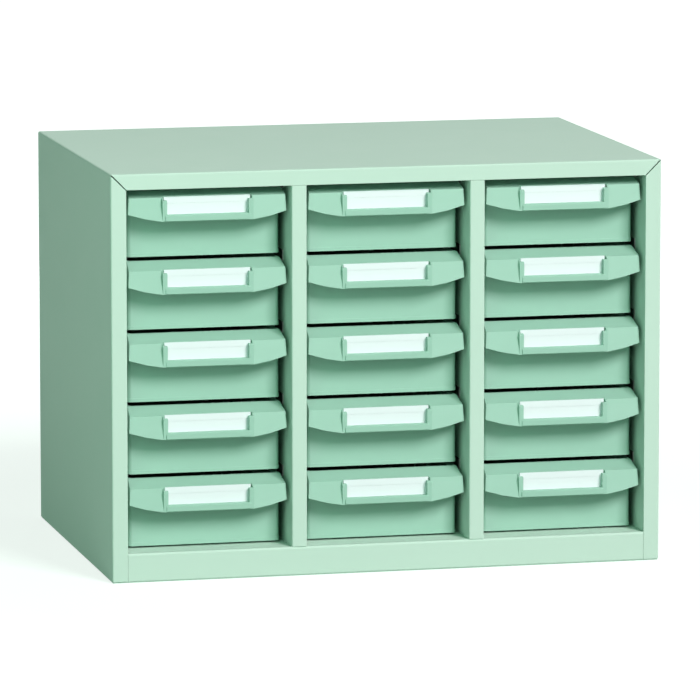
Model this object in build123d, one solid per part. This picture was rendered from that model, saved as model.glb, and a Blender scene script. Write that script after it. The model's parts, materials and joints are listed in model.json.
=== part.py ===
from build123d import *
import os

# A free-standing steel cabinet with fifteen moulded drawers in three columns.
# +Z is up, the front faces -Y, and the origin is the middle of the footprint.

# ---- driving dimensions, in mm ----
WIDTH = 586.0           # cabinet, across its front
DEPTH = 400.0           # cabinet, front face to back
HEIGHT = 425.0          # cabinet, floor to top
COLUMNS = 3
ROWS = 5

# ---- steel carcass ----
STEEL = 1.0             # gauge of every sheet
FOLD = 2.0              # outside radius of the folds in the wrap
STILE = 16.5            # side front flanges
RAIL = 16.5             # top front flange
RAIL_LIP = 10.0         # return lip along the lower edge of the top flange
MITRE_SEAM = 0.7        # open seam where the front flanges meet
KICK = 30.5             # kick rail, and so the top of the deck
KICK_FOLD = 2.6         # outside radius of the fold from kick rail to deck
FOOT_LIP = 14.0         # turned-in lip that the cabinet stands on
WRAP_LIFT = 1.5         # the wrap ends this far above the floor
DIVIDER = 16.0          # width of a divider channel
DIVIDER_FOLD = 1.6
WELD_TAB = 6.0          # turned-in tabs at the back of a divider
BACK_FLANGE = 10.0      # turned-forward edges of the back panel
SEAT = 0.1              # clearance between sheets that are spot welded
BUTT = 0.3              # open line where two sheets butt in view

# ---- runners ----
RUNNER_UPRIGHT = 11.0   # leg welded to the bay wall
RUNNER_REACH = 8.0      # shelf that carries a drawer's rim
RUNNER_BACK_GAP = 8.0   # runner ends this far before the back panel

# ---- drawers ----
ROW_GAP = 3.05          # open line between drawer fronts
HEADROOM = 2.0          # top drawer front to the rail
DECK_GAP = 1.0          # bottom drawer front to the deck
SETBACK = 31.0          # cabinet front face to drawer front panel
FRONT_SIDE_GAP = 6.6    # drawer front panel to the bay wall, each side
FRONT_WALL = 2.5        # front panel thickness
FRONT_ROUND = 5.0       # rounded vertical corners of the front panel
FRONT_RETURN = 8.0      # how far those corners run back
FRONT_FOOT = 5.0        # proud band along the foot of the panel
FRONT_FOOT_PROUD = 0.5
TRAY_WALL = 2.0
TRAY_SIDE_GAP = 1.8     # tray side to the edge of a runner's shelf
TRAY_FLOOR_LIFT = 1.2   # tray floor above the foot of the front panel
TRAY_BACK_GAP = 14.0    # tray to the back panel
TRAY_CORNER = 6.0
TRAY_DRAFT = 0.6        # degrees that the tray narrows downwards
RIM_DROP = 2.0          # rim below the top of the front panel
RIM_THICK = 2.0
RIM_SIDE_GAP = 3.0      # rim to the upright leg of the runner
RIM_PLAY = 0.3          # rim above the runner's shelf
STOP_PLAY = 0.5         # front panel to the runner's end when shut

# ---- pull hood across the top of a drawer front ----
HOOD_WALL = 2.0
HOOD_EDGE_IN = 10.0     # front top edge, behind the cabinet's front face
HOOD_EDGE_DROP = 8.0    # front top edge, below the top of the drawer
HOOD_BACK_HALF = 80.5   # half width along the panel
HOOD_EDGE_HALF = 82.2   # half width along the front top edge
HOOD_TIP_HALF = 83.1    # half width at the lower tip of an end
HOOD_TIP_IN = 8.6
HOOD_TIP_DROP = 25.3
HOOD_MID_IN = 5.2       # lower edge in the middle
HOOD_MID_DROP = 33.3
HOOD_BOW = 0.62         # how full the lower edge is, half way along a wing
HOOD_CHEEK_RISE = 3.0   # lower edge of a cheek, from tip to panel

# ---- label holder in the middle of the hood ----
HOLDER_HALF = 47.75
HOLDER_IN = 5.0         # its upright front face
HOLDER_TOP_DROP = 12.0  # top of its side lips
HOLDER_LIP = 4.75       # width of its side lips
HOLDER_SILL = 7.2       # height of its lower lip
HOLDER_FACE_DEPTH = 5.8 # depth of the window in front of the card
CARD_SLOT = 1.2         # thickness of the slot that holds the card
SLOT_REACH = 3.2        # slot behind each side lip
SLOT_BELOW_SILL = 2.0   # slot behind the lower lip
CARD_THICK = 0.6
CARD_PLAY = 0.3         # card to the ends of its slot
CARD_PROUD = 0.6        # card below the sloping top of the hood

# ---- worked out ----
FRONT = -DEPTH / 2
BACK = DEPTH / 2
SIDE_IN = WIDTH / 2 - STEEL - SEAT          # what fits inside the wrap's sides
BACK_IN = BACK - STEEL - SEAT               # what meets the back panel
OPENING_HALF = WIDTH / 2 - STILE
OPENING_TOP = HEIGHT - RAIL
DECK = KICK
BAY = (2 * OPENING_HALF - (COLUMNS - 1) * DIVIDER) / COLUMNS
COLUMN_PITCH = BAY + DIVIDER
FRONT_HEIGHT = ((OPENING_TOP - DECK - HEADROOM - DECK_GAP) - (ROWS - 1) * ROW_GAP) / ROWS
ROW_PITCH = FRONT_HEIGHT + ROW_GAP
FRONT_HALF = BAY / 2 - FRONT_SIDE_GAP
PANEL_Y = FRONT + SETBACK
RUNNER_FRONT = PANEL_Y + FRONT_RETURN + STOP_PLAY
RUNNER_BACK = BACK_IN - RUNNER_BACK_GAP
SHELF_HALF = BAY / 2 - RUNNER_REACH
TRAY_HALF = SHELF_HALF - TRAY_SIDE_GAP
TRAY_BACK = BACK_IN - TRAY_BACK_GAP
RIM_HALF = BAY / 2 - STEEL - RIM_SIDE_GAP
SHELF_DROP = RIM_DROP + RIM_THICK + RIM_PLAY
CARD_BACK_IN = HOLDER_IN + HOLDER_FACE_DEPTH + CARD_SLOT
HOOD_SLOPE = HOOD_EDGE_DROP / (SETBACK - HOOD_EDGE_IN)


def block(x, y, z):
    """A box from its low and high ends along each axis."""
    size = [high - low for low, high in (x, y, z)]
    middle = [(high + low) / 2 for low, high in (x, y, z)]
    return Pos(*middle) * Box(*size)


def folded_sheet(corners, plane, length, fold):
    """A sheet folded on the line through its outside corners, with its thickness to the left."""
    outside = FilletPolyline(*corners, radius=fold)
    outline = outside.wire().offset_2d(STEEL, side=Side.LEFT)
    return extrude(plane * Face(outline), length)


def both_sides(piece):
    """A right-hand piece and its mirror image."""
    return piece, mirror(piece, Plane.YZ)


def bay_centre(column):
    return (column - (COLUMNS + 1) / 2) * COLUMN_PITCH


def drawer_top(row):
    """Top of a drawer front; row 1 is the highest."""
    return OPENING_TOP - HEADROOM - (row - 1) * ROW_PITCH


# ---------------------------------------------------------------- carcass

def outer_wrap():
    """Top and both sides folded from one sheet, with front flanges mitred at the corners."""
    middle = (HEIGHT + WRAP_LIFT) / 2
    tall = HEIGHT - WRAP_LIFT
    front_view = Plane.XZ.offset(-FRONT) * Pos(0, middle) * Rectangle(WIDTH, tall)
    body = extrude(front_view, -DEPTH)
    top_folds = body.edges().filter_by(Axis.Y).group_by(Axis.Z)[-1]
    front = body.faces().sort_by(Axis.Y)[0]
    front_folds = front.edges().group_by(Axis.Z)[-1] + front.edges().filter_by(Axis.Z)
    body = fillet(top_folds + front_folds, FOLD)
    inside = WIDTH / 2 - STEEL
    cavity = block((-inside, inside), (FRONT + STEEL, BACK), (0, HEIGHT - STEEL))
    opening = block((-OPENING_HALF, OPENING_HALF), (FRONT, FRONT + STEEL), (0, OPENING_TOP))
    body = body - cavity - opening
    lip_half = OPENING_HALF - BUTT
    body += block((-lip_half, lip_half), (FRONT + STEEL / 2, FRONT + RAIL_LIP),
                  (OPENING_TOP, OPENING_TOP + STEEL))
    return body - mitre_seams()


def mitre_seams():
    """Open seams from the inner corners of the front flanges out to their folds."""
    past_corner = 2 * MITRE_SEAM
    length = (STILE - FOLD) * 2 ** 0.5 - MITRE_SEAM
    cut = Pos((length - past_corner) / 2, 0) * Rectangle(length + past_corner, MITRE_SEAM)
    at_corner = Pos(OPENING_HALF, OPENING_TOP) * Rot(0, 0, 45) * cut
    slot = extrude(Plane.XZ.offset(-FRONT) * at_corner, STEEL * 1.5, both=True)
    right, left = both_sides(slot)
    return right + left


def base_tray():
    """Deck, kick rail and foot lips; the lips stand on the floor."""
    pan = block((-SIDE_IN, SIDE_IN), (FRONT + STEEL + SEAT, BACK_IN), (0, DECK))
    rail_half = OPENING_HALF - BUTT
    kick = block((-rail_half, rail_half), (FRONT, FRONT + FOOT_LIP), (0, DECK))
    kick = fillet(kick.edges().filter_by(Axis.X).group_by(Axis.Y)[0], KICK_FOLD)
    inner = SIDE_IN - STEEL
    hollow = block((-inner, inner), (FRONT + 2 * STEEL + SEAT, BACK_IN - STEEL),
                   (STEEL, DECK - STEEL))
    hollow += block((-rail_half, rail_half), (FRONT + STEEL, 0), (STEEL, DECK - STEEL))
    lips_in = block((-inner + FOOT_LIP, inner - FOOT_LIP),
                    (FRONT + FOOT_LIP, BACK_IN - FOOT_LIP), (0, STEEL))
    return pan + kick - hollow - lips_in


def back_panel():
    """Closes the back inside the wrap, with its edges turned forward."""
    top = HEIGHT - STEEL - SEAT
    outline = [(SIDE_IN, BACK - BACK_FLANGE), (SIDE_IN, BACK), (-SIDE_IN, BACK),
               (-SIDE_IN, BACK - BACK_FLANGE)]
    panel = folded_sheet(outline, Plane.XY.offset(WRAP_LIFT), top - WRAP_LIFT, FOLD)
    over_base = block((-WIDTH / 2, WIDTH / 2), (0, BACK_IN), (0, DECK + SEAT))
    return panel - over_base


def divider():
    """Channel between two bays: its web shows at the front, its walls run to the back."""
    half = DIVIDER / 2
    outline = [(half - WELD_TAB, BACK_IN), (half, BACK_IN), (half, FRONT), (-half, FRONT),
               (-half, BACK_IN), (-half + WELD_TAB, BACK_IN)]
    foot = DECK + SEAT
    channel = folded_sheet(outline[::-1], Plane.XY.offset(foot), HEIGHT - STEEL - SEAT - foot,
                           DIVIDER_FOLD)
    notch = block((-DIVIDER, DIVIDER), (FRONT, FRONT + RAIL_LIP + BUTT),
                  (OPENING_TOP - BUTT, HEIGHT))
    return channel - notch


def side_liner():
    """Right-hand inner wall, flush with the edge of the stile that its front tab is welded to."""
    tab = SIDE_IN - STEEL - FOLD
    front = FRONT + STEEL + SEAT
    outline = [(tab, BACK_IN), (OPENING_HALF, BACK_IN), (OPENING_HALF, front), (tab, front)]
    foot = DECK + SEAT
    return folded_sheet(outline, Plane.XY.offset(foot), HEIGHT - STEEL - SEAT - foot,
                        DIVIDER_FOLD)


# ---------------------------------------------------------------- runners

def runner():
    """Right-hand angle of a bay: an upright welded to the wall and a shelf for the rim."""
    wall = BAY / 2
    shelf = -SHELF_DROP
    outline = [(wall, shelf - STEEL + RUNNER_UPRIGHT), (wall, shelf - STEEL),
               (SHELF_HALF, shelf - STEEL)]
    return folded_sheet(outline[::-1], Plane.XZ.offset(-RUNNER_FRONT), RUNNER_FRONT - RUNNER_BACK,
                        DIVIDER_FOLD)


def runner_set(column, angle):
    """The runners of every row on one wall of a bay."""
    places = [Pos(bay_centre(column), 0, drawer_top(row)) for row in range(1, ROWS + 1)]
    return Compound(children=[place * angle for place in places])


# ---------------------------------------------------------------- drawer
# A drawer is modelled with x = 0 in the middle of its bay and z = 0 at its top.

def front_panel():
    """Front wall with rounded vertical corners that run back, and a proud foot."""
    plan = Pos(0, PANEL_Y + FRONT_RETURN / 2) * Rectangle(2 * FRONT_HALF, FRONT_RETURN)
    plan = fillet(plan.vertices().group_by(Axis.Y)[0], FRONT_ROUND)
    inner_half = FRONT_HALF - FRONT_WALL
    hollow = Pos(0, PANEL_Y + FRONT_WALL + FRONT_RETURN / 2) * Rectangle(2 * inner_half,
                                                                         FRONT_RETURN)
    hollow = fillet(hollow.vertices().group_by(Axis.Y)[0], FRONT_ROUND - FRONT_WALL)
    panel = extrude(plan - hollow, -FRONT_HEIGHT)
    foot_plan = offset(plan, FRONT_FOOT_PROUD) - plan
    foot_plan -= Pos(0, PANEL_Y + FRONT_RETURN) * Rectangle(2 * BAY, FRONT_RETURN)
    foot = extrude(foot_plan, -FRONT_FOOT)
    return panel + Pos(0, 0, FRONT_FOOT - FRONT_HEIGHT) * foot


def tray_body():
    """Open tray behind the front panel, with rims along both sides that ride on the runners."""
    front = PANEL_Y + FRONT_WALL
    length = TRAY_BACK - front
    middle = Pos(0, (front + TRAY_BACK) / 2)
    height = FRONT_HEIGHT - RIM_DROP - TRAY_FLOOR_LIFT
    plan = fillet((middle * Rectangle(2 * TRAY_HALF, length)).vertices(), TRAY_CORNER)
    shell = Pos(0, 0, -RIM_DROP) * extrude(plan, -height, taper=TRAY_DRAFT)
    shell = fillet(shell.faces().sort_by(Axis.Z)[0].edges(), TRAY_CORNER / 2)
    inner = middle * Rectangle(2 * (TRAY_HALF - TRAY_WALL), length - 2 * TRAY_WALL)
    inner = fillet(inner.vertices(), TRAY_CORNER - TRAY_WALL)
    hollow = Pos(0, 0, -RIM_DROP) * extrude(inner, -(height - TRAY_WALL), taper=TRAY_DRAFT)
    rim_front = PANEL_Y + FRONT_RETURN
    rim_inner = TRAY_HALF - TRAY_WALL / 2
    rim = block((rim_inner, RIM_HALF), (rim_front - FRONT_RETURN / 2, TRAY_BACK - TRAY_CORNER),
                (-RIM_DROP - RIM_THICK, -RIM_DROP))
    ahead = block((FRONT_HALF - FRONT_WALL, RIM_HALF), (PANEL_Y, rim_front),
                  (-FRONT_HEIGHT, 0))
    right, left = both_sides(rim - ahead)
    return shell + right + left - hollow


def hood_section(x, tip_in, tip_drop, wall=0.0):
    """Section of the hood across x; with a wall it is the hollow, open behind and below."""
    if not wall:
        points = [(SETBACK, 0), (HOOD_EDGE_IN, -HOOD_EDGE_DROP), (tip_in, -tip_drop),
                  (SETBACK, -tip_drop + HOOD_CHEEK_RISE)]
    else:
        lean = (HOOD_EDGE_IN - tip_in) / (tip_drop - HOOD_EDGE_DROP)
        low = FRONT_HEIGHT / 2
        edge_in = HOOD_EDGE_IN + wall
        points = [(SETBACK, -wall), (edge_in, -wall - HOOD_SLOPE * (SETBACK - edge_in)),
                  (edge_in - lean * (low - HOOD_EDGE_DROP), -low), (SETBACK, -low)]
    return Wire.make_polygon([(x, FRONT + p, z) for p, z in points])


def hood_wing(wall=0.0):
    """Right-hand wing, from the label holder to its end; with a wall it is the wing's hollow."""
    inner = HOLDER_HALF + (wall / 4 if wall else 0)
    half_way = (HOLDER_HALF + HOOD_TIP_HALF) / 2
    bow_in = HOOD_TIP_IN + (HOOD_MID_IN - HOOD_TIP_IN) * HOOD_BOW
    bow_drop = HOOD_TIP_DROP + (HOOD_MID_DROP - HOOD_TIP_DROP) * HOOD_BOW
    sections = [hood_section(inner, HOOD_MID_IN, HOOD_MID_DROP, wall),
                hood_section(half_way, bow_in, bow_drop, wall),
                hood_section(HOOD_TIP_HALF, HOOD_TIP_IN, HOOD_TIP_DROP, wall)]
    wing = Solid.make_loft(sections, ruled=True)
    end = Plane(Face(Wire.make_polygon([
        (HOOD_BACK_HALF, PANEL_Y, 0), (HOOD_EDGE_HALF, FRONT + HOOD_EDGE_IN, -HOOD_EDGE_DROP),
        (HOOD_TIP_HALF, FRONT + HOOD_TIP_IN, -HOOD_TIP_DROP)])))
    outward = end.z_dir if end.z_dir.X > 0 else -end.z_dir
    beyond = Plane(end.origin - outward * wall, z_dir=outward) * Box(
        4 * SETBACK, 4 * SETBACK, SETBACK, align=(Align.CENTER, Align.CENTER, Align.MIN))
    return wing - beyond


def label_holder():
    """Middle of the hood: an upright frame, open above, with a slot for the card."""
    back_in = CARD_BACK_IN + HOOD_WALL
    top_at = [(p, -HOOD_SLOPE * (SETBACK - p)) for p in (HOOD_EDGE_IN, SETBACK)]
    outline = [(FRONT + p, z) for p, z in [
        (HOLDER_IN, -HOOD_MID_DROP), (HOLDER_IN, -HOLDER_TOP_DROP), *top_at,
        (SETBACK, -HOOD_MID_DROP)]]
    frame = extrude(Plane.YZ * make_face(Polyline(*outline, close=True)), HOLDER_HALF, both=True)
    low = -FRONT_HEIGHT / 2
    gap = make_face(Polyline((FRONT + back_in, low), (FRONT + back_in, -HOOD_WALL - HOOD_SLOPE
                    * (SETBACK - back_in)), (PANEL_Y, -HOOD_WALL), (PANEL_Y, low), close=True))
    finger_gap = extrude(Plane.YZ * gap, HOLDER_HALF + HOOD_WALL / 4, both=True)
    sill = -HOOD_MID_DROP + HOLDER_SILL
    window_half = HOLDER_HALF - HOLDER_LIP
    slot_front = CARD_BACK_IN - CARD_SLOT
    window = block((-window_half, window_half), (FRONT, FRONT + CARD_BACK_IN), (sill, 0))
    slot_half = window_half + SLOT_REACH
    slot = block((-slot_half, slot_half), (FRONT + slot_front, FRONT + CARD_BACK_IN),
                 (sill - SLOT_BELOW_SILL, 0))
    return frame - finger_gap - window - slot, finger_gap


def drawer():
    """One moulding: front panel, tray, rims and the pull hood with its label holder."""
    holder, finger_gap = label_holder()
    hollow = hood_wing(HOOD_WALL)
    wing = hood_wing() - hollow - finger_gap
    right, left = both_sides(wing)
    moulding = front_panel() + tray_body() + holder + right + left
    return moulding


def label_card():
    """Paper card that drops into the slot of the label holder."""
    half = HOLDER_HALF - HOLDER_LIP + SLOT_REACH - CARD_PLAY
    foot = -HOOD_MID_DROP + HOLDER_SILL - SLOT_BELOW_SILL
    top = -HOOD_SLOPE * (SETBACK - CARD_BACK_IN) - CARD_PROUD
    back = FRONT + CARD_BACK_IN - (CARD_SLOT - CARD_THICK) / 2
    return block((-half, half), (back - CARD_THICK, back), (foot, top))


# ---------------------------------------------------------------- files

def save(name, piece):
    export_step(piece, f"parts/{name}.step")


def main():
    os.makedirs("parts", exist_ok=True)
    save("outer_wrap", outer_wrap())
    save("base_tray", base_tray())
    save("back_panel", back_panel())
    right_liner, left_liner = both_sides(side_liner())
    save("side_liner_right", right_liner)
    save("side_liner_left", left_liner)
    for gap in range(1, COLUMNS):
        between = (bay_centre(gap) + bay_centre(gap + 1)) / 2
        save(f"divider_{gap}", Pos(between, 0, 0) * divider())
    right_runner, left_runner = both_sides(runner())
    moulding, card = drawer(), label_card()
    for column in range(1, COLUMNS + 1):
        save(f"runners_c{column}_left", runner_set(column, left_runner))
        save(f"runners_c{column}_right", runner_set(column, right_runner))
        for row in range(1, ROWS + 1):
            place = Pos(bay_centre(column), 0, drawer_top(row))
            save(f"drawer_c{column}r{row}", place * moulding)
            save(f"label_card_c{column}r{row}", place * card)


main()
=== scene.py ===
# %% [markdown]
# A steel small-parts cabinet with fifteen moulded drawers, dressed for a studio picture.
# The construction comes from the imported model: every sheet, runner and drawer is already in
# its place, in metres. This file gives those pieces their edges, paint, plastic and paper,
# and adds the small repeated details. The box of the imported model is measured first, and
# the camera, the seams and the welds are placed from it.

# %% Load the imported model
import json
import math

import bmesh
import bpy
from mathutils import Matrix, Vector


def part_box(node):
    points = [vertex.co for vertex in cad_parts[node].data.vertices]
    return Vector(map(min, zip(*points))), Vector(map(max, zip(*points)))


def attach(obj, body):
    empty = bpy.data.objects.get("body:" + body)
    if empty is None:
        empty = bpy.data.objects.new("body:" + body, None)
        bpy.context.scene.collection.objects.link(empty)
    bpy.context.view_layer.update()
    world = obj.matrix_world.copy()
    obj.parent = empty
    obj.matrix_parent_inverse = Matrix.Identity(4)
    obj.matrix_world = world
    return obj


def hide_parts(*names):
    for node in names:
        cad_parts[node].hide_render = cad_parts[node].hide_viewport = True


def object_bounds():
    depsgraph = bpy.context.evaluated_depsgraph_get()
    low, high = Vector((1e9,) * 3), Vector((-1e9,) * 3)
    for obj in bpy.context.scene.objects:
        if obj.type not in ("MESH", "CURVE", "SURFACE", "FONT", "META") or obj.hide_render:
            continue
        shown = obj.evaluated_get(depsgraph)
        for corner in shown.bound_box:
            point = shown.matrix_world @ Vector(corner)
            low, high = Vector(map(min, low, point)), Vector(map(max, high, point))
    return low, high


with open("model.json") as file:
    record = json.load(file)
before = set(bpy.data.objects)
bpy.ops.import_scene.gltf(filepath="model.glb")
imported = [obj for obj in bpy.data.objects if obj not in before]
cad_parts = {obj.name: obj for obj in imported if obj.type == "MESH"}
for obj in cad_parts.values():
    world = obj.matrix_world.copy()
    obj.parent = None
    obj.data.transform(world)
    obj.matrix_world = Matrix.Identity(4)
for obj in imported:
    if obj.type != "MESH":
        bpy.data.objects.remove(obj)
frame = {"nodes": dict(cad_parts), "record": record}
nodes = frame["nodes"]
cad_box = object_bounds()
MM = 0.001
BODIES = frame["record"]["behaviour"]["bodies"]
print("packed model:", len(nodes), "nodes,", [round(c, 3) for c in (*cad_box[0], *cad_box[1])])

# %% [markdown]
# The photograph was taken from well to the left, slightly above the top, with a long lens:
# the verticals stay almost parallel. A camera is a place, a direction and a focal length, so
# it is written here as the turn, tilt and distance that put the cabinet's eight visible
# corners where the photograph has them. The lens has no shift, because other views keep it.

# %% Camera
CAMERA_TURN = math.radians(13.437)
CAMERA_TILT = math.radians(8.589)
CAMERA_DISTANCE = 6.4312
CAMERA_FOCAL_PX = 6199
PICTURE_PX = 700
SENSOR_MM = 36
AIM = Vector((0, cad_box[0].y, 0.213))
AIM_RIGHT, AIM_UP = -0.0400, 0.0205


def add_camera():
    """A long unshifted lens that looks to the right and down at the cabinet's front."""
    forward = Vector((math.sin(CAMERA_TURN) * math.cos(CAMERA_TILT),
                      math.cos(CAMERA_TURN) * math.cos(CAMERA_TILT), -math.sin(CAMERA_TILT)))
    right = Vector((math.cos(CAMERA_TURN), -math.sin(CAMERA_TURN), 0))
    up = right.cross(forward)
    target = AIM + right * AIM_RIGHT + up * AIM_UP
    data = bpy.data.cameras.new("camera")
    data.sensor_width = SENSOR_MM
    data.lens = CAMERA_FOCAL_PX / PICTURE_PX * SENSOR_MM
    data.clip_end = 50
    camera = bpy.data.objects.new("camera", data)
    turn = Matrix((right, up, -forward)).transposed().to_4x4()
    camera.matrix_world = Matrix.Translation(target - forward * CAMERA_DISTANCE) @ turn
    bpy.context.collection.objects.link(camera)
    bpy.context.scene.camera = camera
    print("lens", round(data.lens, 1), "mm at", round(CAMERA_DISTANCE, 2), "m")


add_camera()

# %% [markdown]
# A material in Blender is a tree of nodes, and arithmetic on its sockets soon becomes long.
# This small class lets the materials below be written as plain expressions: adding or
# multiplying two values adds the Math node for it. Colours go through Mix nodes instead,
# because a Math node would turn them grey. Any other node comes from one method.

# %% Shader arithmetic


class Value:
    """A shader socket that takes part in Python arithmetic."""

    def __init__(self, shader, socket):
        self.shader = shader
        self.socket = socket

    def math(self, operation, first, second=0.0):
        made = self.shader.node("ShaderNodeMath", {"operation": operation}, {0: first, 1: second})
        return made.out("Value")

    def __add__(self, other):
        return self.math("ADD", self, other)

    def __radd__(self, other):
        return self.math("ADD", other, self)

    def __sub__(self, other):
        return self.math("SUBTRACT", self, other)

    def __rsub__(self, other):
        return self.math("SUBTRACT", other, self)

    def __mul__(self, other):
        return self.math("MULTIPLY", self, other)

    def __rmul__(self, other):
        return self.math("MULTIPLY", other, self)


class Made:
    """A node that a shader has made, with its outputs ready for arithmetic."""

    def __init__(self, shader, node):
        self.shader = shader
        self.node = node

    def out(self, name):
        return Value(self.shader, self.node.outputs[name])


class Shader:
    """A new material, or the world, whose nodes are made one by one."""

    def __init__(self, owner):
        owner.use_nodes = True
        self.owner = owner
        self.tree = owner.node_tree
        self.tree.nodes.clear()

    def node(self, kind, settings=None, inputs=None):
        """Makes a node: its settings first, then the values or links of its sockets."""
        node = self.tree.nodes.new(kind)
        for name, value in (settings or {}).items():
            setattr(node, name, value)
        for name, value in (inputs or {}).items():
            if isinstance(value, Value):
                self.tree.links.new(value.socket, node.inputs[name])
            else:
                node.inputs[name].default_value = value
        return Made(self, node)

    def here(self):
        """Coordinates fixed to the object, in metres."""
        return self.node("ShaderNodeTexCoord").out("Object")

    def noise(self, grain, detail=2.0, roughness=0.5):
        """Noise whose lumps are about as large as grain, in metres, from 0 to 1."""
        return self.node("ShaderNodeTexNoise", {}, {
            "Vector": self.here(), "Scale": 1 / grain, "Detail": detail,
            "Roughness": roughness}).out("Fac")

    def mix(self, amount, first, second):
        """A colour between two colours."""
        node = self.node("ShaderNodeMix", {"data_type": "RGBA"}, {0: amount, 6: first, 7: second})
        return Value(self, node.node.outputs[2])

    def bump(self, height, depth, strength=1.0):
        """A normal that follows a height from 0 to 1 over depth, in metres."""
        return self.node("ShaderNodeBump", {}, {
            "Height": height, "Distance": depth, "Strength": strength}).out("Normal")

    def surface(self, **sockets):
        """Ends the tree in a Principled surface."""
        named = {name.replace("_", " "): value for name, value in sockets.items()}
        bsdf = self.node("ShaderNodeBsdfPrincipled", {}, named)
        self.node("ShaderNodeOutputMaterial", {}, {"Surface": bsdf.out("BSDF")})
        return self.owner


def colour(red, green, blue):
    """A colour given as the eye sees it, 0 to 255, in the light values that shaders use."""
    def light(level):
        part = level / 255
        return part / 12.92 if part <= 0.04045 else ((part + 0.055) / 1.055) ** 2.4
    return (light(red), light(green), light(blue), 1.0)


def new_shader(name):
    return Shader(bpy.data.materials.new(name))


# %% [markdown]
# The cabinet's sheets are powder coated: a baked skin of pale green polyester, satin, with
# the faint dimples that painters call orange peel. They are about a millimetre across and a
# few hundredths deep, so they show only in how a reflection breaks up. A second, much wider
# noise shifts the shade a little from place to place, as a sprayed coat does.

# %% Powder coat
PAINT = colour(211, 230, 218)
PAINT_THIN = colour(206, 227, 214)
ORANGE_PEEL = 1.1 * MM


def powder_coat():
    shader = new_shader("powder_coat")
    cloud = shader.noise(160 * MM, detail=3.0)
    peel = shader.noise(ORANGE_PEEL, detail=1.5)
    return shader.surface(
        Base_Color=shader.mix(cloud, PAINT_THIN, PAINT),
        Roughness=0.42 + 0.08 * shader.noise(35 * MM),
        Normal=shader.bump(peel, 0.03 * MM, 0.35),
        Specular_IOR_Level=0.07)


paint = powder_coat()

# %% [markdown]
# The drawers are moulded in a green plastic, a little deeper than the paint. A moulding tool
# is spark eroded, which leaves an even matt grain of a few tenths of a millimetre. Faint flow
# marks stretch across the front from the gate; here they are a noise squeezed along X.

# %% Drawer plastic
PLASTIC = colour(167, 205, 188)
PLASTIC_DEEP = colour(161, 201, 183)
# The paler colour below is a painted highlight for the rounded edges of the mouldings.
EDGE_PAINTED_HIGHLIGHT = colour(226, 246, 236)
TOOL_GRAIN = 0.45 * MM


def moulded_plastic(name, light, deep, sheen):
    shader = new_shader(name)
    stretched = shader.node("ShaderNodeMapping", {}, {
        "Vector": shader.here(), "Scale": (1.0, 6.0, 6.0)}).out("Vector")
    flow = shader.node("ShaderNodeTexNoise", {}, {
        "Vector": stretched, "Scale": 12.0, "Detail": 3.0}).out("Fac")
    grain = shader.noise(TOOL_GRAIN, detail=2.0)
    return shader.surface(
        Base_Color=shader.mix(flow, deep, light),
        Roughness=sheen + 0.1 * grain,
        Normal=shader.bump(grain, 0.02 * MM, 0.4),
        Specular_IOR_Level=0.45)


plastic = moulded_plastic("moulded_plastic", PLASTIC, PLASTIC_DEEP, 0.44)
# A paler copy of the plastic: a painted highlight for the rounded edges.
painted_edge_highlight = moulded_plastic("painted_edge_highlight", EDGE_PAINTED_HIGHLIGHT, PLASTIC, 0.3)

# %% [markdown]
# Label cards are plain white paper board. Paper is matt, and its fibres show as a fine
# mottle of shade and height.

# %% Card
CARD_WHITE = colour(248, 249, 253)
CARD_SHADE = colour(243, 244, 249)


def paper_card():
    shader = new_shader("paper_card")
    fibre = shader.noise(0.8 * MM, detail=4.0, roughness=0.65)
    return shader.surface(
        Base_Color=shader.mix(fibre, CARD_SHADE, CARD_WHITE),
        Roughness=0.85,
        Normal=shader.bump(fibre, 0.02 * MM, 0.5),
        Specular_IOR_Level=0.25)


card = paper_card()

# %% [markdown]
# The runners inside are zinc-plated angles, which nobody paints because the drawers rub on
# them. Zinc freezes in crystals, so a Voronoi pattern gives each patch its own brightness and
# gloss, and a fine noise drawn out along the runner gives the rub marks. Both tones are painted
# darker than bare zinc, as painted shade for the dark gaps the runners stand in.

# %% Zinc
# Both zinc tones are painted darker than bare zinc: painted shade for the gaps.
SHADED_ZINC_LIGHT = colour(150, 156, 154)
SHADED_ZINC_DARK = colour(118, 125, 122)


def zinc_plate_in_painted_shade():
    shader = new_shader("zinc_plate_in_painted_shade")
    spangle = shader.node("ShaderNodeTexVoronoi", {"feature": "F1"}, {
        "Vector": shader.here(), "Scale": 1 / (6 * MM)}).out("Color")
    patch = shader.node("ShaderNodeSeparateColor", {}, {"Color": spangle}).out("Red")
    rubbed = shader.node("ShaderNodeMapping", {}, {
        "Vector": shader.here(), "Scale": (1.0, 0.05, 1.0)}).out("Vector")
    rub = shader.node("ShaderNodeTexNoise", {}, {
        "Vector": rubbed, "Scale": 1 / (0.7 * MM), "Detail": 2.0}).out("Fac")
    return shader.surface(
        Base_Color=shader.mix(patch, SHADED_ZINC_DARK, SHADED_ZINC_LIGHT), Metallic=1.0,
        Roughness=0.34 + 0.12 * patch + 0.08 * rub,
        Normal=shader.bump(rub, 0.01 * MM, 0.4))


zinc = zinc_plate_in_painted_shade()

# %% [markdown]
# The imported solids have the true shape, but their edges are perfectly sharp, and a real
# sheet or moulding always catches a line of light on its edge. So each one is copied: the
# loose triangles are joined, flat areas become single faces again, and a Bevel modifier
# rounds what is left sharp. Smooth shading would then bend the light across the flats, so a
# Weighted Normal modifier lets the largest face at each corner decide. On a moulding the
# rounded edges get a paler material of their own, a painted highlight that stands in for the
# line of light the edge catches. The widths below are what is asked for. The modifier's overlap
# clamp shrinks the rounding of a whole piece to suit its tightest corner, so here it comes out
# much slighter, between 0.02 and 0.07 mm. With the clamp off, faces would break across the
# label window.

# %% Copies with rounded edges
SHEET_EDGE = 0.25 * MM
MOULDED_EDGE = 0.45 * MM
JOIN_WITHIN = 0.002 * MM
FLAT_WITHIN = math.radians(6)
SHARP_FROM = math.radians(28)
ROUNDING_STEPS = 2
LARGEST_FACE_DECIDES = 100


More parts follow.
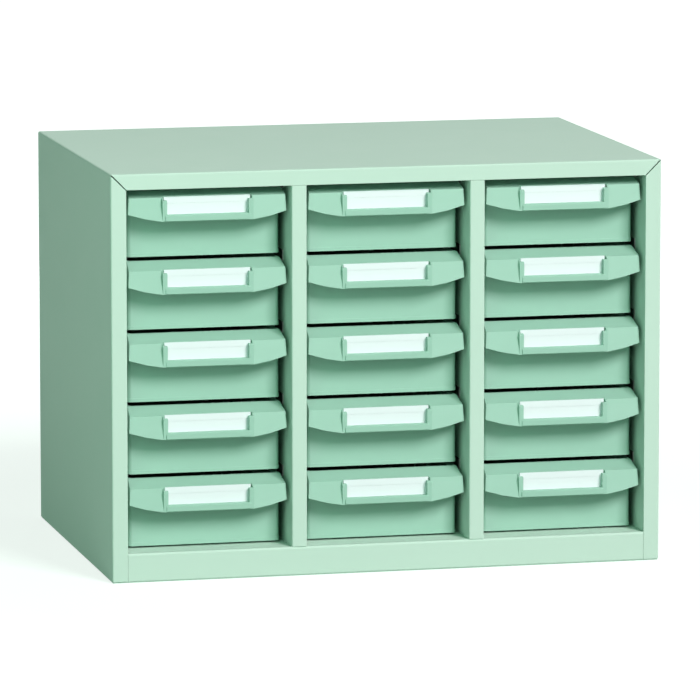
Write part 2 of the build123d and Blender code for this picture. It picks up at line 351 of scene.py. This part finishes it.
def joined_copy(node):
    """A copy of the node's mesh whose loose triangles are joined."""
    mesh = nodes[node].data.copy()
    mesh.materials.clear()
    work = bmesh.new()
    work.from_mesh(mesh)
    bmesh.ops.remove_doubles(work, verts=work.verts, dist=JOIN_WITHIN)
    work.to_mesh(mesh)
    work.free()
    return mesh


def merge_flats(mesh):
    """Makes every flat area of a mesh one face."""
    work = bmesh.new()
    work.from_mesh(mesh)
    bmesh.ops.dissolve_limit(work, angle_limit=FLAT_WITHIN, verts=work.verts, edges=work.edges)
    work.to_mesh(mesh)
    work.free()


def link(name, mesh):
    """Puts a mesh into the scene as an object at the origin."""
    piece = bpy.data.objects.new(name, mesh)
    bpy.context.collection.objects.link(piece)
    return piece


def dress(node, mesh, body, finish, edge, edge_highlight_paint=None):
    """Stands a mesh in for a node, with rounded edges and a finish."""
    merge_flats(mesh)
    mesh.materials.clear()
    piece = link(node + "_dressed", mesh)
    piece.data.materials.append(finish)
    piece.data.shade_smooth()
    bevel = piece.modifiers.new("edges", "BEVEL")
    bevel.width = edge
    bevel.segments = ROUNDING_STEPS
    bevel.limit_method = "ANGLE"
    bevel.angle_limit = SHARP_FROM
    bevel.use_clamp_overlap = True
    # The rounded faces of a moulding take a second, paler material: a painted highlight.
    if edge_highlight_paint:
        piece.data.materials.append(edge_highlight_paint)
        bevel.material = 1
    flats = piece.modifiers.new("flats", "WEIGHTED_NORMAL")
    flats.mode = "FACE_AREA"
    flats.weight = LARGEST_FACE_DECIDES
    flats.keep_sharp = True
    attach(piece, body)
    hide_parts(node)
    return piece


# %% [markdown]
# Some small features are easier to cut into these copies than to model from nothing. A
# Boolean modifier joins another closed mesh to a piece or cuts it out. The tools here are
# plain boxes, a slanting bar and rows of flat cones. The modifiers are applied at once, and the
# tools are thrown away.

# %% Carving


def block(x, y, z):
    """A closed box from its low and high ends along each axis, in metres."""
    corners = [(a, b, c) for a in x for b in y for c in z]
    mesh = bpy.data.meshes.new("block")
    mesh.from_pydata(corners, [], [(0, 1, 3, 2), (4, 6, 7, 5), (0, 4, 5, 1), (2, 3, 7, 6),
                                   (0, 2, 6, 4), (1, 5, 7, 3)])
    return mesh


def carve(mesh, added=(), cut=()):
    """Joins the added meshes to a mesh, cuts the others out, and gives the new mesh."""
    piece = link("in_work", mesh)
    steps = [("UNION", tool) for tool in added] + [("DIFFERENCE", tool) for tool in cut]
    tools = []
    for operation, tool in steps:
        tools.append(link("tool", tool))
        step = piece.modifiers.new(operation.lower(), "BOOLEAN")
        step.operation = operation
        step.solver = "EXACT"
        step.object = tools[-1]
    seen = piece.evaluated_get(bpy.context.evaluated_depsgraph_get())
    carved = bpy.data.meshes.new_from_object(seen)
    for leftover in [piece, *tools]:
        bpy.data.objects.remove(leftover)
    return carved


# %% [markdown]
# What repeats is made with Geometry Nodes. A tree of them is a recipe: its named inputs are
# the sizes, and running it gives a plain mesh that can be copied to where it belongs. The
# class below builds a tree in the same way as the materials, runs it once on an empty object
# and hands over the mesh.

# %% Recipes for repeated parts


class Recipe(Shader):
    """A Geometry Nodes tree whose sizes are named inputs."""

    def __init__(self, name, sizes):
        self.tree = bpy.data.node_groups.new(name, "GeometryNodeTree")
        self.tree.is_modifier = True
        self.sizes = sizes
        self.sockets = {}
        for size, value in sizes.items():
            kind = "NodeSocketInt" if isinstance(value, int) else "NodeSocketFloat"
            socket = self.tree.interface.new_socket(name=size, in_out="INPUT", socket_type=kind)
            self.sockets[size] = socket.identifier
        self.tree.interface.new_socket(name="Geometry", in_out="OUTPUT",
                                       socket_type="NodeSocketGeometry")
        self.given = Made(self, self.tree.nodes.new("NodeGroupInput"))

    def size(self, name):
        return self.given.out(name)

    def vector(self, x=0.0, y=0.0, z=0.0):
        return self.node("ShaderNodeCombineXYZ", {}, {"X": x, "Y": y, "Z": z}).out("Vector")

    def join(self, *parts):
        joined = self.tree.nodes.new("GeometryNodeJoinGeometry")
        for part in reversed(parts):
            self.tree.links.new(part.socket, joined.inputs[0])
        return Made(self, joined).out("Geometry")

    def cook(self, geometry, finish):
        """Ends the tree in real meshes with a finish, and runs it."""
        real = self.node("GeometryNodeRealizeInstances", {}, {"Geometry": geometry})
        done = self.node("GeometryNodeSetMaterial", {}, {
            "Geometry": real.out("Geometry"), "Material": finish}).out("Geometry")
        last = self.tree.nodes.new("NodeGroupOutput")
        self.tree.links.new(done.socket, last.inputs[0])
        maker = link(self.tree.name, bpy.data.meshes.new(self.tree.name))
        run = maker.modifiers.new("recipe", "NODES")
        run.node_group = self.tree
        for size, value in self.sizes.items():
            run[self.sockets[size]] = value
        seen = maker.evaluated_get(bpy.context.evaluated_depsgraph_get())
        mesh = bpy.data.meshes.new_from_object(seen)
        bpy.data.objects.remove(maker)
        print(self.tree.name, "made", len(mesh.polygons), "faces")
        return mesh


# %% [markdown]
# Sheet cabinets are put together by spot welding: two electrodes press the sheets together,
# and the current leaves a round dent about six millimetres wide that the paint does not quite
# hide. The dividers and the base are welded to the back panel, so the dents run in rows there.
# One row is a line of points with a very flat cone on each, and the row is a cutting tool.

# %% Spot welds
WELD_ROW = {"Marks": 6, "Pitch": 62 * MM, "Rim": 3.2 * MM, "Floor": 2.2 * MM,
            "Depth": 0.25 * MM}
WELD_STANDS_OFF = 0.04 * MM
BASE_MARKS, BASE_PITCH, BASE_HEIGHT = 7, 82 * MM, 14 * MM
FLANGE_MIDDLE = 4.5 * MM


def weld_row(marks, pitch):
    """A level row of flat cones with their narrow ends up, to cut dents with."""
    recipe = Recipe(f"weld_row_of_{marks}", dict(WELD_ROW, Marks=marks, Pitch=pitch))
    mark = recipe.node("GeometryNodeMeshCone", {}, {
        "Vertices": 20, "Radius Top": recipe.size("Floor"), "Radius Bottom": recipe.size("Rim"),
        "Depth": recipe.size("Depth")}).out("Mesh")
    start = (recipe.size("Marks") - 1) * recipe.size("Pitch") * -0.5
    points = recipe.node("GeometryNodeMeshLine", {"mode": "OFFSET"}, {
        "Count": recipe.size("Marks"), "Start Location": recipe.vector(start),
        "Offset": recipe.vector(recipe.size("Pitch"))}).out("Mesh")
    row = recipe.node("GeometryNodeInstanceOnPoints", {}, {
        "Points": points, "Instance": mark}).out("Instances")
    return recipe.cook(row, paint)


def welds_on_back():
    """Two upright rows at the dividers and a level one along the base, pointing inwards."""
    back, middle = cad_box[1].y + WELD_STANDS_OFF, cad_box[1].z / 2
    inward = Matrix.Rotation(math.pi / 2, 4, "X")
    level = weld_row(BASE_MARKS, BASE_PITCH)
    level.transform(Matrix.Translation((0, back, BASE_HEIGHT)) @ inward)
    rows = [level]
    upright_row = weld_row(WELD_ROW["Marks"], WELD_ROW["Pitch"])
    for node in ("divider_1", "divider_2"):
        low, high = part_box(node)
        upright = upright_row.copy()
        place = Vector(((low[0] + high[0]) / 2 + FLANGE_MIDDLE, back, middle))
        turn = inward @ Matrix.Rotation(math.pi / 2, 4, "Z")
        upright.transform(Matrix.Translation(place) @ turn)
        rows.append(upright)
    return rows


# %% [markdown]
# The carcass is all painted sheet. Where the front flanges of the top and the sides meet, the
# real cabinet has an open mitre seam that looks black, because behind it lies the closed space
# between the outer sheet and the inner wall. The same slanting bar is cut through the outer
# sheet and the wall's tab behind it, so the seam opens into that space. The runners stay as
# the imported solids, out of sight behind the drawers, and only get their zinc.

# %% Carcass
STILE, RAIL = 16.5 * MM, 16.5 * MM
SEAM_WIDTH, SEAM_DEPTH = 1.2 * MM, 4 * MM
SEAM_END = 1.2 * MM
front_y = cad_box[0].y


def seam_bar(side):
    """A slanting bar from the inner to nearly the outer corner of the front flanges."""
    outer = Vector((side * cad_box[1].x, 0, cad_box[1].z))
    inner = outer - Vector((side * STILE, 0, RAIL))
    along = (outer - inner).normalized()
    reach = (outer - inner).length - SEAM_END
    bar = block((0, reach), (-SEAM_DEPTH, SEAM_DEPTH), (-SEAM_WIDTH / 2, SEAM_WIDTH / 2))
    across = along.cross(Vector((0, 1, 0)))
    turn = Matrix((along, Vector((0, 1, 0)), across)).transposed().to_4x4()
    bar.transform(Matrix.Translation((inner.x, front_y, inner.z)) @ turn)
    return bar


PAINTED = [node for node in BODIES["cabinet"] if not node.startswith("runners")]
for node in PAINTED:
    sheet = joined_copy(node)
    if node == "outer_wrap":
        sheet = carve(sheet, cut=[seam_bar(1), seam_bar(-1)])
    elif node.startswith("side_liner"):
        sheet = carve(sheet, cut=[seam_bar(1 if node.endswith("right") else -1)])
    elif node == "back_panel":
        sheet = carve(sheet, cut=welds_on_back())
    dress(node, sheet, "cabinet", paint, SHEET_EDGE)
for node in BODIES["cabinet"]:
    if node.startswith("runners"):
        # The runners get the zinc that is painted dark as shade for the gaps.
        nodes[node].data.materials.clear()
        nodes[node].data.materials.append(zinc)
print("painted sheets:", PAINTED)

# %% [markdown]
# Every drawer is the same moulding in another place, so one is refined and then copied. The
# photograph shows a lower lip that stands a millimetre in front of the side lips, side lips
# that end a little below the top of the card, and a dark pocket behind the card. The lower
# edge of the hood is also raised by less than a millimetre, and the foot of the front by a
# little more, which leaves the wide dark gap over the next drawer. Sizes count from the
# cabinet's front face, the middle of the drawer and its top. Edges too short to round are
# collapsed at the end.

# %% The drawer moulding
PANEL_IN = 31 * MM
RETURN_IN = 39.5 * MM
HOOD_EDGE = 8 * MM
HOOD_RISE = 0.964
HOOD_FOOT_IN, HOOD_FOOT = 5.2 * MM, 35 * MM
FOOT_RISE = 1.15 * MM
LIP_IN, LIP_TOP = 5 * MM, 10.6 * MM
SILL_HALF, SILL_TOP, SILL_FOOT = 44.6 * MM, 26.4 * MM, 31.7 * MM
SILL_PROUD = 1 * MM
POCKET_HALF, POCKET_FOOT = 46.7 * MM, 14 * MM
POCKET_IN = (10.8 * MM, 13.3 * MM)
SHORTEST_STEP = 0.3 * MM
SAME_PLACE = 0.05 * MM
FOOT_BAND = 0.1 * MM
HOOD_ENDS_BEFORE = 0.6 * MM
TOOL_OVERLAP = 0.1 * MM
SILL_BURIED = 0.5 * MM
ABOVE_TOP = 1 * MM


def corner_of(node):
    """The middle of a drawer at its top, on the cabinet's front face."""
    low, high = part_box(node)
    return Vector(((low[0] + high[0]) / 2, front_y, high[2]))


def refined_moulding(node):
    """The drawer's mesh moved to the origin, its lower edges raised, and carved."""
    mesh = joined_copy(node)
    mesh.transform(Matrix.Translation(-corner_of(node)))
    foot = min(vertex.co.z for vertex in mesh.vertices)
    for vertex in mesh.vertices:
        spot = vertex.co
        if abs(spot.y - HOOD_FOOT_IN) < SAME_PLACE:
            spot.y = LIP_IN
        if spot.y < PANEL_IN - HOOD_ENDS_BEFORE and -HOOD_EDGE > spot.z > -HOOD_FOOT:
            spot.z = (spot.z + HOOD_EDGE) * HOOD_RISE - HOOD_EDGE
        if spot.z < foot + FOOT_BAND and spot.y < RETURN_IN:
            spot.z += FOOT_RISE
    sill = block((-SILL_HALF, SILL_HALF), (LIP_IN - SILL_PROUD, LIP_IN + SILL_BURIED),
                 (-SILL_FOOT, -SILL_TOP))
    over_lips = block((-POCKET_HALF, POCKET_HALF), (0, POCKET_IN[0] + TOOL_OVERLAP),
                      (-LIP_TOP, ABOVE_TOP))
    pocket = block((-POCKET_HALF, POCKET_HALF), POCKET_IN, (-POCKET_FOOT, ABOVE_TOP))
    mesh = carve(mesh, added=[sill], cut=[over_lips, pocket])
    merge_flats(mesh)
    work = bmesh.new()
    work.from_mesh(mesh)
    bmesh.ops.dissolve_degenerate(work, dist=SHORTEST_STEP, edges=work.edges)
    work.to_mesh(mesh)
    work.free()
    return mesh


moulding = refined_moulding("drawer_c2r3")
print("moulding:", len(moulding.polygons), "faces")

# %% [markdown]
# The label card is cut from board, so its corners are sharp but its edges are slightly
# crushed. It stands against the side lips, and its top edge shows above them.

# %% Label card
CARD_HALF, CARD_THICK = 45.4 * MM, 0.6 * MM
CARD_IN = 10.95 * MM
CARD_TOP, CARD_FOOT = 7.3 * MM, 28.0 * MM
CARD_EDGE = 0.12 * MM


def card_blank(corner):
    """A plain card for the drawer whose top middle is at the corner."""
    blank = block((-CARD_HALF, CARD_HALF), (CARD_IN, CARD_IN + CARD_THICK),
                  (-CARD_FOOT, -CARD_TOP))
    blank.transform(Matrix.Translation(corner))
    return blank


for body, members in BODIES.items():
    for node in members:
        if node.startswith("drawer"):
            shell = moulding.copy()
            shell.transform(Matrix.Translation(corner_of(node)))
            # The drawer's rounded edges take the painted highlight.
            dress(node, shell, body, plastic, MOULDED_EDGE, painted_edge_highlight)
        elif node.startswith("label_card"):
            corner = corner_of(node.replace("label_card", "drawer"))
            dress(node, card_blank(corner), body, card, CARD_EDGE)

# %% [markdown]
# Drawers of this kind take loose cross partitions, which slide down between pairs of slim
# moulded ribs on the inner sides. A rib is a trapezium drawn out upwards: narrower at its crest
# than at the wall, so that it leaves the mould. Two lines of points carry the two ribs of every
# pair, and the other side of the drawer is the same row turned by half a turn.

# %% Partition ribs
RIB_ROW = {"Pairs": 6, "Pitch": 50 * MM, "Slot": 2.6 * MM, "Width": 1.6 * MM,
           "Reach": 1.4 * MM, "Height": 52 * MM, "Wall": 74.7 * MM}
RIB_FOOT = 66 * MM
RIB_MIDDLE = 208 * MM


def partition_ribs():
    recipe = Recipe("partition_ribs", RIB_ROW)
    width, reach, height = (recipe.size(name) for name in ("Width", "Reach", "Height"))
    outline = recipe.node("GeometryNodeCurvePrimitiveQuadrilateral", {"mode": "TRAPEZOID"}, {
        "Height": reach, "Bottom Width": width, "Top Width": width * 0.5, "Offset": 0.0})
    foot = recipe.node("GeometryNodeFillCurve", {}, {"Curve": outline.out("Curve")}).out("Mesh")
    drawn = recipe.node("GeometryNodeExtrudeMesh", {}, {
        "Mesh": foot, "Offset Scale": height, "Individual": False}).out("Mesh")
    under = recipe.node("GeometryNodeFlipFaces", {}, {"Mesh": foot}).out("Mesh")
    rib = recipe.node("GeometryNodeMergeByDistance", {}, {
        "Geometry": recipe.join(drawn, under)}).out("Geometry")
    rows = []
    for side in (-0.5, 0.5):
        start = (recipe.size("Pairs") - 1) * recipe.size("Pitch") * -0.5
        points = recipe.node("GeometryNodeMeshLine", {"mode": "OFFSET"}, {
            "Count": recipe.size("Pairs"),
            "Start Location": recipe.vector(recipe.size("Wall"),
                                            start + recipe.size("Slot") * side
                                            + recipe.size("Width") * side),
            "Offset": recipe.vector(0.0, recipe.size("Pitch"))}).out("Mesh")
        rows.append(recipe.node("GeometryNodeInstanceOnPoints", {}, {
            "Points": points, "Instance": rib,
            "Rotation": (0, 0, math.pi / 2)}).out("Instances"))
    right = recipe.join(*rows)
    left = recipe.node("GeometryNodeTransform", {}, {
        "Geometry": right, "Rotation": (0, 0, math.pi)}).out("Geometry")
    return recipe.cook(recipe.join(right, left), plastic)


ribs = partition_ribs()
for body, members in BODIES.items():
    for node in members:
        if node.startswith("drawer"):
            mesh = ribs.copy()
            middle = Vector((0, RIB_MIDDLE, -RIB_FOOT))
            mesh.transform(Matrix.Translation(corner_of(node) + middle))
            piece = link(node.replace("drawer", "ribs"), mesh)
            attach(piece, body)

# %% [markdown]
# A studio picture of a pale object on white needs soft lamps that are much larger than the
# object. The key lamp stands in front, to the right and above, so the front is brightest, the
# top a little less, and the left side falls into shade. A weak, low lamp behind keeps the back
# readable. The world adds an even fill, and looks white only to the camera and in reflections.

# %% Lamps, world and floor
LIT_POINT = Vector((0, 0, 0.2))


def add_lamp(name, place, size, power, tint):
    """A square lamp, in metres and watts, that faces the cabinet."""
    data = bpy.data.lights.new(name, "AREA")
    data.shape = "SQUARE"
    data.size = size
    data.energy = power
    data.color = tint
    lamp = bpy.data.objects.new(name, data)
    aim = LIT_POINT - Vector(place)
    turn = aim.to_track_quat("-Z", "Y").to_matrix().to_4x4()
    lamp.matrix_world = Matrix.Translation(place) @ turn
    bpy.context.collection.objects.link(lamp)


KEY_TINT = (1.0, 0.96, 0.98)
FILL_TINT = (0.50, 1.0, 0.74)
add_lamp("key", (3.0, -6.8, 5.2), 3.0, 660, KEY_TINT)
add_lamp("left_fill", (-1.0, -1.6, 0.9), 0.8, 5, FILL_TINT)
add_lamp("back_fill", (0.4, 2.2, 0.12), 0.2, 14, KEY_TINT)

FILL_LEVEL, FILL_ZENITH = 0.40, 0.16


def seen_directly(shader):
    """1 for rays that show the surroundings: from the camera, in gloss or through glass."""
    path = shader.node("ShaderNodeLightPath")
    seen = path.out("Is Camera Ray") + path.out("Is Glossy Ray")
    return seen + path.out("Is Transmission Ray")


def light_world():
    world = bpy.data.worlds.new("studio")
    bpy.context.scene.world = world
    shader = Shader(world)
    shown = seen_directly(shader)
    upward = shader.node("ShaderNodeSeparateXYZ", {}, {
        "Vector": shader.node("ShaderNodeTexCoord").out("Generated")}).out("Z")
    strength = shader.node("ShaderNodeMapRange", {}, {
        "Value": upward, "From Min": 0.0, "From Max": 1.0,
        "To Min": FILL_LEVEL, "To Max": FILL_ZENITH}).out("Result")
    fill = shader.node("ShaderNodeBackground", {}, {
        "Color": (*FILL_TINT, 1), "Strength": strength}).out("Background")
    white = shader.node("ShaderNodeBackground", {}, {
        "Color": (1, 1, 1, 1), "Strength": 1.0}).out("Background")
    both = shader.node("ShaderNodeMixShader", {}, {0: shown, 1: fill, 2: white})
    shader.node("ShaderNodeOutputWorld", {}, {"Surface": both.out("Shader")})


light_world()

FLOOR_SIZE = 30
FLOOR_GREY = colour(160, 176, 167)
GLOW_NEAR, GLOW_FAR = 0.77, 1.0
NEAR_RADIUS, FAR_RADIUS = 0.5, 2.0


def add_floor():
    """A pale floor that keeps the cabinet's shadow and turns white a little way off."""
    mesh = bpy.data.meshes.new("floor")
    half = FLOOR_SIZE / 2
    corners = [(-half, -half, 0), (half, -half, 0), (half, half, 0), (-half, half, 0)]
    mesh.from_pydata(corners, [], [(0, 1, 2, 3)])
    floor = bpy.data.objects.new("floor", mesh)
    bpy.context.collection.objects.link(floor)
    shader = new_shader("floor_white")
    shown = seen_directly(shader)
    matt = shader.node("ShaderNodeBsdfDiffuse", {}, {"Color": FLOOR_GREY}).out("BSDF")
    distance = shader.node("ShaderNodeVectorMath", {"operation": "LENGTH"}, {
        0: shader.here()}).out("Value")
    strength = shader.node("ShaderNodeMapRange", {}, {
        "Value": distance, "From Min": NEAR_RADIUS, "From Max": FAR_RADIUS,
        "To Min": GLOW_NEAR, "To Max": GLOW_FAR}).out("Result")
    glow = shader.node("ShaderNodeEmission", {}, {
        "Color": (1, 1, 1, 1), "Strength": shown * strength}).out("Emission")
    both = shader.node("ShaderNodeAddShader", {}, {0: matt, 1: glow})
    shader.node("ShaderNodeOutputMaterial", {}, {"Surface": both.out("Shader")})
    mesh.materials.append(shader.owner)


add_floor()
bpy.context.scene.view_settings.view_transform = "Standard"
